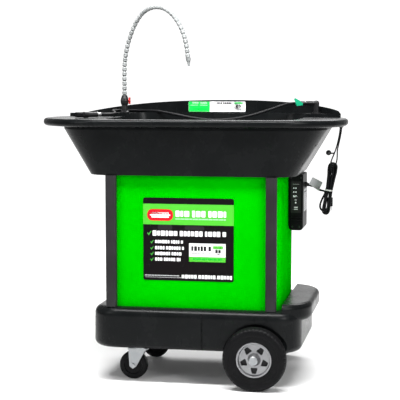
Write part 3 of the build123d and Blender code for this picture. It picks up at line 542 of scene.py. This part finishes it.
def printSheet(name, middle, right, up, size, corner, base, shapes, slot, thickness=0.0006, swaps=(),
               body="washer"):
    # a thin closed plate, then each printed shape as its own closed layer, a hair above the one before it
    right, up = unit(right), unit(up)
    out = np.cross(right, up)
    middle = np.asarray(middle, float)
    points, faces, colours = [], [], []
    plates = [(roundedShape(0, 0, size[0], size[1], corner, 8), base, 0.0, thickness)]
    plates += [(shape, ink, thickness - 5e-5, thickness + 6e-5 + 2.5e-7 * k)
               for k, (shape, ink) in enumerate(shapes)]
    for shape, ink, low, high in plates:
        flat = shape[:, :1] * mm * right + shape[:, 1:] * mm * up + middle
        start, count = sum(len(p) for p in points), len(shape)
        points += [flat + out * low, flat + out * high]
        j = np.arange(count)
        sides = np.stack([j, (j + 1) % count, count + (j + 1) % count, count + j], -1) + start
        made = [*sides.tolist(), (j[::-1] + start).tolist(), (j + count + start).tolist()]
        faces += made
        colours += [inks[ink]] * sum(len(f) for f in made)
    piece = meshPiece(name, np.vstack(points), faces, slot, body, smooth=False, swaps=swaps)
    layer = piece.data.color_attributes.new("inkColour", "FLOAT_COLOR", "CORNER")
    opaque = np.c_[np.array(colours), np.ones(len(colours))]
    layer.data.foreach_set("color", opaque.astype(np.float32).ravel())
    return piece


def barOn(w, h, corner):
    # makes bars on a w by h label, each placed by its own left and top edge
    def bar(left, top, wide, high, ink, r=corner):
        return roundedShape(left + wide / 2 - w / 2, h / 2 - top - high / 2, wide, high, r), ink
    return bar


def frontLabel():
    w, h = 369, 334
    bar = barOn(w, h, 0.8)

    def words(left, top, wide, high, ink, seed):
        return greekLine(left - w / 2, h / 2 - top - high / 2, wide, high, ink, seed)
    shapes = [bar(0.4, 25, w - 0.8, 83, "band", 0.2), bar(60, 108, 60, 22, "shade", 8),
              bar(170, 112, 80, 16, "shade", 7), bar(17, 46, 106, 47, "red", 20),
              bar(34, 59, 72, 5.5, "white", 2.5), bar(28, 67, 84, 5.5, "white", 2.5),
              bar(34, 75, 72, 5.5, "white", 2.5)]
    shapes += words(133, 50, 205, 27, "white", 11) + words(133, 82, 205, 5, "mint", 12)
    shapes.append((tickShape(25 - w / 2, h / 2 - 144, 17), "tick"))
    shapes += words(39, 132, 306, 22, "white", 13)
    for k, (top, wide) in enumerate([(170, 116), (195, 118), (218, 108), (241, 104)]):
        shapes.append((tickShape(36 - w / 2, h / 2 - top - 9, 13), "tick"))
        shapes += words(49, top, wide, 14, "white", 20 + k)
    shapes += [bar(188, 181, 148, 74, "white", 1), bar(188, 235, 148, 20, "band", 1)]
    shapes += words(197, 192, 80, 20, "dark", 31) + words(198, 218, 76, 8, "grey", 32)
    shapes += words(204, 240, 116, 8, "deep", 33)
    shapes += [bar(284, 189, 43, 43, "pale", 12), bar(285.5, 190.5, 40, 40, "white", 11),
               bar(285.5, 190, 40, 12, "band", 3), bar(295, 205, 9, 13, "dark", 2),
               bar(307, 205, 9, 13, "dark", 3), bar(303, 221, 9, 3, "dark", 1)]
    shapes += words(158, 308, 204, 16, "white", 41) + words(8, 312, 140, 3.5, "pale", 42)
    shapes += words(8, 320, 350, 2.4, "grey", 43)
    return printSheet("frontLabelPrint", (0.0215, -0.2560, 0.583), (1, 0, 0), (0, 0, 1), (w, h), 9, "black",
                      shapes, "label_vinyl", swaps=["tank_label"])


def splashSticker():
    w, h = 252, 44
    bar = barOn(w, h, 0.6)
    shapes = [bar(0.3, 0.3, 94, h - 0.6, "bright", 2), bar(16, 3, 28, 6, "mint", 2),
              bar(52, 3, 30, 7, "mint", 2), bar(45, 2, 1.4, 40, "deep", 0.4), bar(20, 31, 62, 3.5, "deep", 1),
              bar(8, 15, 34, 2.2, "mint", 1), bar(50, 15, 34, 2.2, "mint", 1)]
    shapes += greekLine(124 - w / 2, h / 2 - 7, 68, 9.5, "dark", 51)
    shapes += greekLine(98 - w / 2, h / 2 - 25, 90, 2.6, "grey", 52)
    shapes += greekLine(120 - w / 2, h / 2 - 32, 66, 2.2, "pale", 53)
    shapes += [bar(201, 2, 41, 39, "pale", 5), bar(202, 3, 39, 37, "white", 4.4),
               bar(202, 2.5, 39, 7.5, "deep", 2), bar(210, 13, 9, 13, "dark", 2),
               bar(222, 13, 9, 13, "dark", 4), bar(225, 17, 3, 5, "white", 1),
               bar(206, 31, 30, 2.4, "grey", 1)]
    return printSheet("splashStickerPrint", (0.042, 0.2900, 1.102), (1, 0, 0), (0, 0, 1), (w, h), 3, "white",
                      shapes, "splash_vinyl", swaps=["splash_label"])


def boxSticker():
    w, h = 104, 92
    shapes = []
    for k in range(9):
        shapes += greekLine(8 - w / 2, h / 2 - 12 - k * 8.6, 86 - (k % 3) * 14, 3.2 if k else 6,
                            "grey" if k else "dark", 60 + k)
    shapes.append((roundedShape(30, 14, 20, 16, 2), "grey"))
    return printSheet("boxStickerPrint", (0.4540, 0.078, 0.722), (0, 1, 0), (0, 0, 1), (w, h), 4, "pale",
                      shapes, "grey_label", thickness=0.0005, swaps=["box_label"])


def cordTag():
    shapes = []
    for k in range(6):
        shapes += greekLine(-20, 11 - k * 4.6, 38 - (k % 2) * 7, 1.7, "grey", 80 + k)
    return printSheet("cordTagPrint", (0.500, 0.050, 0.792), (0.883, 0, -0.469), (0.469, 0, 0.883), (48, 34),
                      4, "pale", shapes, "grey_label", swaps=["cord_tag"])


def boxPanel():
    w, h = 42, 130

    def bar(x, z, wide, high, ink, r=0.8):
        return roundedShape(x - 425, z - 739, wide, high, r), ink
    shapes = [bar(418, 741, 9, 5, "pale", 2), bar(430, 741, 3, 3, "grey", 1.4),
              bar(424, 727, 9, 2.6, "pale", 1), bar(424, 716, 6, 6, "white", 2.9),
              bar(425, 697, 15, 3.2, "white", 1), bar(425, 689, 15, 3.2, "pale", 1),
              bar(414, 689, 2, 2, "grey", 0.9), bar(425, 792, 26, 1.2, "grey", 0.5)]
    return printSheet("boxPanelPrint", (0.425, -0.0140, 0.739), (1, 0, 0), (0, 0, 1), (w, h), 3, "dark",
                      shapes, "grey_label", thickness=0.0008, swaps=["control_panel"])


frontLabel()
splashSticker()
boxSticker()
tagPiece = cordTag()
boxPanel()
print("printed pieces made")

# ---- gooseneck beads ----
gooseneck = {"base": (-357, 225), "turn": -31.6, "pitch": 20.6, "lowerEnd": 10, "middleEnd": 25,
             "arch": [(0, 1162.5), (0, 1215), (2, 1285), (19, 1362), (57, 1441), (112, 1502), (186, 1526),
                      (258, 1511), (308, 1474), (347, 1421), (369, 1359), (380, 1297)],
             # one bead from its back to its front: distance along, radius
             "profile": [(-10.3, 7.0), (-9.4, 7.0), (-9.0, 7.6), (-8.2, 8.6), (-6.6, 9.6), (-4.4, 10.0),
                         (-1.5, 10.0), (-1.2, 9.5), (-0.2, 9.5), (0.1, 9.9), (3.4, 9.7), (5.6, 9.0),
                         (7.4, 8.1), (8.6, 7.3), (9.0, 6.7), (10.3, 6.7)]}


def archCentres():
    # cubic spline through the arch points with set end slopes, walked at the bead pitch
    turn = math.radians(gooseneck["turn"])
    s, z = np.array(gooseneck["arch"], float).T
    baseX, baseY = gooseneck["base"]
    knots = np.stack([baseX + s * math.cos(turn), baseY + s * math.sin(turn), z], -1)
    gap = np.linalg.norm(np.diff(knots, axis=0), axis=1)
    count = len(knots)
    system, right = np.zeros((count, count)), np.zeros((count, 3))
    system[0, 0] = system[-1, -1] = 1
    right[0], right[-1] = (0, 0, 1), unit((0.1, -0.06, -1))
    for k in range(1, count - 1):
        system[k, k - 1:k + 2] = gap[k], 2 * (gap[k - 1] + gap[k]), gap[k - 1]
        before, after = knots[k] - knots[k - 1], knots[k + 1] - knots[k]
        right[k] = 3 * (gap[k] * before / gap[k - 1] + gap[k - 1] * after / gap[k])
    slopes = np.linalg.solve(system, right)
    t = np.linspace(0, 1, 60, endpoint=False)[None, :, None]
    h = gap[:, None, None]
    fine = ((2 * t ** 3 - 3 * t ** 2 + 1) * knots[:-1, None]
            + (t ** 3 - 2 * t ** 2 + t) * h * slopes[:-1, None]
            + (3 * t ** 2 - 2 * t ** 3) * knots[1:, None] + (t ** 3 - t ** 2) * h * slopes[1:, None])
    fine = np.vstack([fine.reshape(-1, 3), knots[-1:]])
    number = int(lineLength(fine) / gooseneck["pitch"]) + 1
    return partOfLine(fine, 0, (number - 1) * gooseneck["pitch"], number)


def beadRun(name, first, last, body, sides=24):
    # every bead is the same profile turned about the arch's direction at its centre
    centres = archCentres()
    along, side, up = pathFrames(centres, (0.524, 0.852, 0.02))
    profile = np.array(gooseneck["profile"])
    around = np.linspace(0, 2 * math.pi, sides, endpoint=False)
    points, faces = [], []
    for k in range(first, last + 1):
        ring = side[k] * np.cos(around)[:, None] + up[k] * np.sin(around)[:, None]
        bead = centres[k] + profile[:, 0, None, None] * along[k] + ring[None] * profile[:, 1, None, None]
        bead = np.vstack([bead.reshape(-1, 3), centres[k] + along[k] * profile[0, 0],
                          centres[k] + along[k] * profile[-1, 0]])
        start, rows = len(points) * (len(profile) * sides + 2), len(profile)
        opening, closing = endFans(rows, sides)
        faces += [*(quadGrid(rows, sides, wrapColumns=True)[:, ::-1] + start), *(opening + start),
                  *(closing + start)]
        points.append(bead)
    return meshPiece(name, np.vstack(points) * mm, faces, "bead_plastic", body, swaps=[body])


beadCount = len(archCentres())
beadRun("gooseneckBeadsLow", 0, gooseneck["lowerEnd"], "gooseneck_lower")
beadRun("gooseneckBeadsMiddle", gooseneck["lowerEnd"] + 1, gooseneck["middleEnd"], "gooseneck_middle")
beadRun("gooseneckBeadsHigh", gooseneck["middleEnd"] + 1, beadCount - 1, "gooseneck_upper")
print("gooseneck beads", beadCount)

# ---- big wheels ----
tyre = {"x": 302, "z": 127, "middle": 337, "blocks": 44, "grooveDepth": 2.4,
        # half of the section: radius, distance from the middle
        "section": [(70, 24), (74, 26), (84, 26.6), (95, 26.6), (98.5, 28.6), (104, 29), (110, 28.6),
                    (117, 26.2), (122.5, 22), (125.8, 16), (126.8, 9), (127, 0)]}


def tyrePiece(name, side, body, steps=352):
    # the section carried round the axle; the tread sinks where a zigzag groove or a cross groove passes
    half = np.array(tyre["section"], float)
    full = np.vstack([half * (1, -1), half[::-1][1:]])
    fine = np.linspace(0, len(full) - 1, 92)
    radius = np.interp(fine, np.arange(len(full)), full[:, 0])
    across = np.interp(fine, np.arange(len(full)), full[:, 1])
    around = np.linspace(0, 2 * math.pi, steps, endpoint=False)[:, None]
    wave = 2.2 * np.sin(around * tyre["blocks"])
    centreGroove = np.abs(across[None] - wave) < 1.7
    ribGroove = np.abs(np.abs(across[None]) - 10.5 - wave * 0.3) < 1.3
    phase = (around * tyre["blocks"] / (2 * math.pi) + np.sign(across[None]) * 0.25) % 1
    crossGroove = (phase < 0.16) & (np.abs(across[None]) > 12) & (radius[None] > 118)
    sunk = np.where(centreGroove | ribGroove | crossGroove, tyre["grooveDepth"], 0.0) * (radius[None] > 116)
    r = radius[None] - sunk
    points = np.stack([tyre["x"] + r * np.sin(around), side * tyre["middle"] + across[None] + 0 * r,
                       tyre["z"] + r * np.cos(around)], -1)
    faces = quadGrid(steps, len(fine), wrapRows=True, wrapColumns=True)
    return meshPiece(name, points * mm, faces[:, ::-1], "tyre_rubber", body, swaps=[f"{body}_tyre"])


tyrePiece("frontTyreTread", -1, "front_wheel")
tyrePiece("rearTyreTread", 1, "rear_wheel")
print("tyres made")

# ---- brush bristles ----
# goldenTurn in radians spreads the hairs evenly
brush = {"tip": (-472.85, -142.49, 1074.8), "turn": 50, "rootsAt": 41, "radius": 11.6, "count": 300,
         "goldenTurn": 2.39996}


def bristlePiece():
    # thin four-sided tapering hairs set out in a sunflower pattern, each leaning a little outwards
    turn = math.radians(brush["turn"])
    along = np.array([math.cos(turn), math.sin(turn), 0])
    side, up = np.array([-math.sin(turn), math.cos(turn), 0]), np.array([0, 0, 1.0])
    rng = np.random.default_rng(7)
    k = np.arange(brush["count"])
    r, angle = brush["radius"] * np.sqrt((k + 0.5) / brush["count"]) * 0.9, k * brush["goldenTurn"]
    root = (np.array(brush["tip"]) + along * brush["rootsAt"] + np.outer(r * np.cos(angle), side)
            + np.outer(r * np.sin(angle), up))
    spread, stray = 1.06, 0.35
    depthOff = rng.uniform(0.4, 2.4, len(k))
    sideOff = r * spread * np.cos(angle) + rng.normal(0, stray, len(k))
    upOff = r * spread * np.sin(angle) + rng.normal(0, stray, len(k))
    far = np.array(brush["tip"]) + np.outer(depthOff, along) + np.outer(sideOff, side) + np.outer(upOff, up)
    share = np.array([0, 0.5, 1.0])[None, :, None]
    line = root[:, None] * (1 - share) + far[:, None] * share
    square = np.array([(1, 0), (0, 1), (-1, 0), (0, -1)]) * 0.45
    offset = square[:, :1] * side + square[:, 1:] * up
    taper = np.array([1, 0.9, 0.6])[None, :, None, None]
    points = line[:, :, None] + offset[None, None] * taper
    one = np.vstack([quadGrid(3, 4, wrapColumns=True), [(0, 1, 2, 3)], [(11, 10, 9, 8)]])
    faces = (one[None] + (np.arange(len(k)) * 12)[:, None, None]).reshape(-1, 4)
    return meshPiece("brushHairs", points.reshape(-1, 3) * mm, faces, "bristle", smooth=False,
                     swaps=["brush_bristles"])


hairs = bristlePiece()

# ---- filter mat ----
matLow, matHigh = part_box("filter_mat")


def matPiece():
    # a laid felt sheet: nearly flat, with slow waves up to a millimetre and a thickness of 3 mm
    rows, columns = 60, 90
    x = np.linspace(matLow.x + 0.002, matHigh.x - 0.002, columns)[None, :] + np.zeros((rows, 1))
    y = np.linspace(matLow.y + 0.002, matHigh.y - 0.002, rows)[:, None] + np.zeros((1, columns))
    wave = 0.0003 * (np.sin(x * 31 + y * 17) + np.sin(y * 43 - x * 11)) + 0.0006
    low = np.stack([x, y, matLow.z + 0.0001 + wave * 0.2], -1)
    high = np.stack([x, y, matLow.z + 0.0027 + wave], -1)
    points = np.vstack([low.reshape(-1, 3), high.reshape(-1, 3)])
    under = quadGrid(rows, columns)
    rim = np.r_[np.arange(columns), np.arange(1, rows) * columns + columns - 1,
                (rows - 1) * columns + np.arange(columns - 2, -1, -1), np.arange(rows - 2, 0, -1) * columns]
    after = np.roll(rim, -1)
    count = rows * columns
    walls = np.stack([rim, after, after + count, rim + count], -1)
    return meshPiece("filterFeltSheet", points, [*under[:, ::-1], *(under + count), *walls], "filter_felt",
                     swaps=["filter_mat"])


mat = matPiece()
print("filter mat made")

# ---- finishes on the CAD nodes ----
slotOf = {row["node"]: row["material_slot"] for row in record["subparts"]}
screwBlack = metal("screwBlack", (0.03, 0.03, 0.03), (0.07, 0.07, 0.07), 0.4)
for name, node in frame["nodes"].items():
    finish = screwBlack if name == "cover_screws" else finishes[slotOf[name]]
    if not node.material_slots:
        node.data.materials.append(finish)
    for holder in node.material_slots:
        holder.material = finish

# ---- floor, light and tone ----
studio = {"floorTone": (0.86, 0.86, 0.86), "world": 0.3,
          # name, place, size, power
          "lamps": [("softTop", (0.1, -1.0, 3.0), (2.8, 0.5), 180),
                    ("softLeft", (-3.4, -3.6, 2.8), (1.4, 1.8), 48),
                    ("softRight", (3.4, -3.2, 2.6), (1.2, 1.8), 92),
                    ("softBack", (0.2, 2.6, 3.2), (3.4, 1.6), 120)]}


def makeFloor():
    # flat floor that curves up into a wall far behind: height is a quarter circle past the bend line
    rows, columns = 60, 24
    run = np.linspace(-9, 15, rows)
    bend, radius = 7.0, 5.0
    past = np.clip(run - bend, 0, radius * math.pi / 2)
    y = np.where(run < bend, run, bend + radius * np.sin(past / radius))
    z = np.where(run < bend, 0.0, radius * (1 - np.cos(past / radius)))
    z = z + np.clip(run - bend - radius * math.pi / 2, 0, 9)
    x = np.linspace(-14, 14, columns)
    points = np.stack([x[None] + 0 * y[:, None], y[:, None] + 0 * x[None], z[:, None] + 0 * x[None]], -1)
    mesh = bpy.data.meshes.new("studioFloor")
    mesh.from_pydata((points.reshape(-1, 3) - (0, 0, 0.0003)).tolist(), [], quadGrid(rows, columns).tolist())
    mesh.polygons.foreach_set("use_smooth", np.full(len(mesh.polygons), True))
    finish = Finish("studioPaper", Emission_Strength=1.0)
    tooth = finish.noise(3.0, 3.0)
    # glows only in a band running back from the object, so that its sides don't mirror a bright room
    aside = (finish.axis("X") + finish.axis("Y") * 0.19).math("ABSOLUTE")
    glow = finish.axis("Y").ramp(0.5, 5.0) * (1 - aside.ramp(2.4, 4.0))
    finish.set(Base_Color=finish.mix(tooth, studio["floorTone"],
                                     tuple(c * 0.985 for c in studio["floorTone"])),
               Roughness=0.72 + tooth * 0.05,
               Emission_Color=finish.mix(glow, (0.0, 0.0, 0.0), (0.72, 0.72, 0.72)))
    mesh.materials.append(finish.material)
    floor = bpy.data.objects.new("studioFloor", mesh)
    bpy.context.scene.collection.objects.link(floor)


def makeLights():
    for name, place, size, power in studio["lamps"]:
        lamp = bpy.data.lights.new(name, "AREA")
        lamp.shape, lamp.size, lamp.size_y, lamp.energy = "RECTANGLE", size[0], size[1], power
        holder = bpy.data.objects.new(name, lamp)
        bpy.context.scene.collection.objects.link(holder)
        holder.location = place
        holder.rotation_euler = (Vector((0, 0, 0.7)) - Vector(place)).to_track_quat("-Z", "Y").to_euler()
    world = bpy.data.worlds.new("studioWorld")
    bpy.context.scene.world = world
    world.use_nodes = True
    sky = world.node_tree.nodes["Background"]
    sky.inputs[0].default_value = (1, 1, 1, 1)
    sky.inputs[1].default_value = studio["world"]


makeFloor()
makeLights()
bpy.context.scene.view_settings.view_transform = "Standard"
print("studio made")
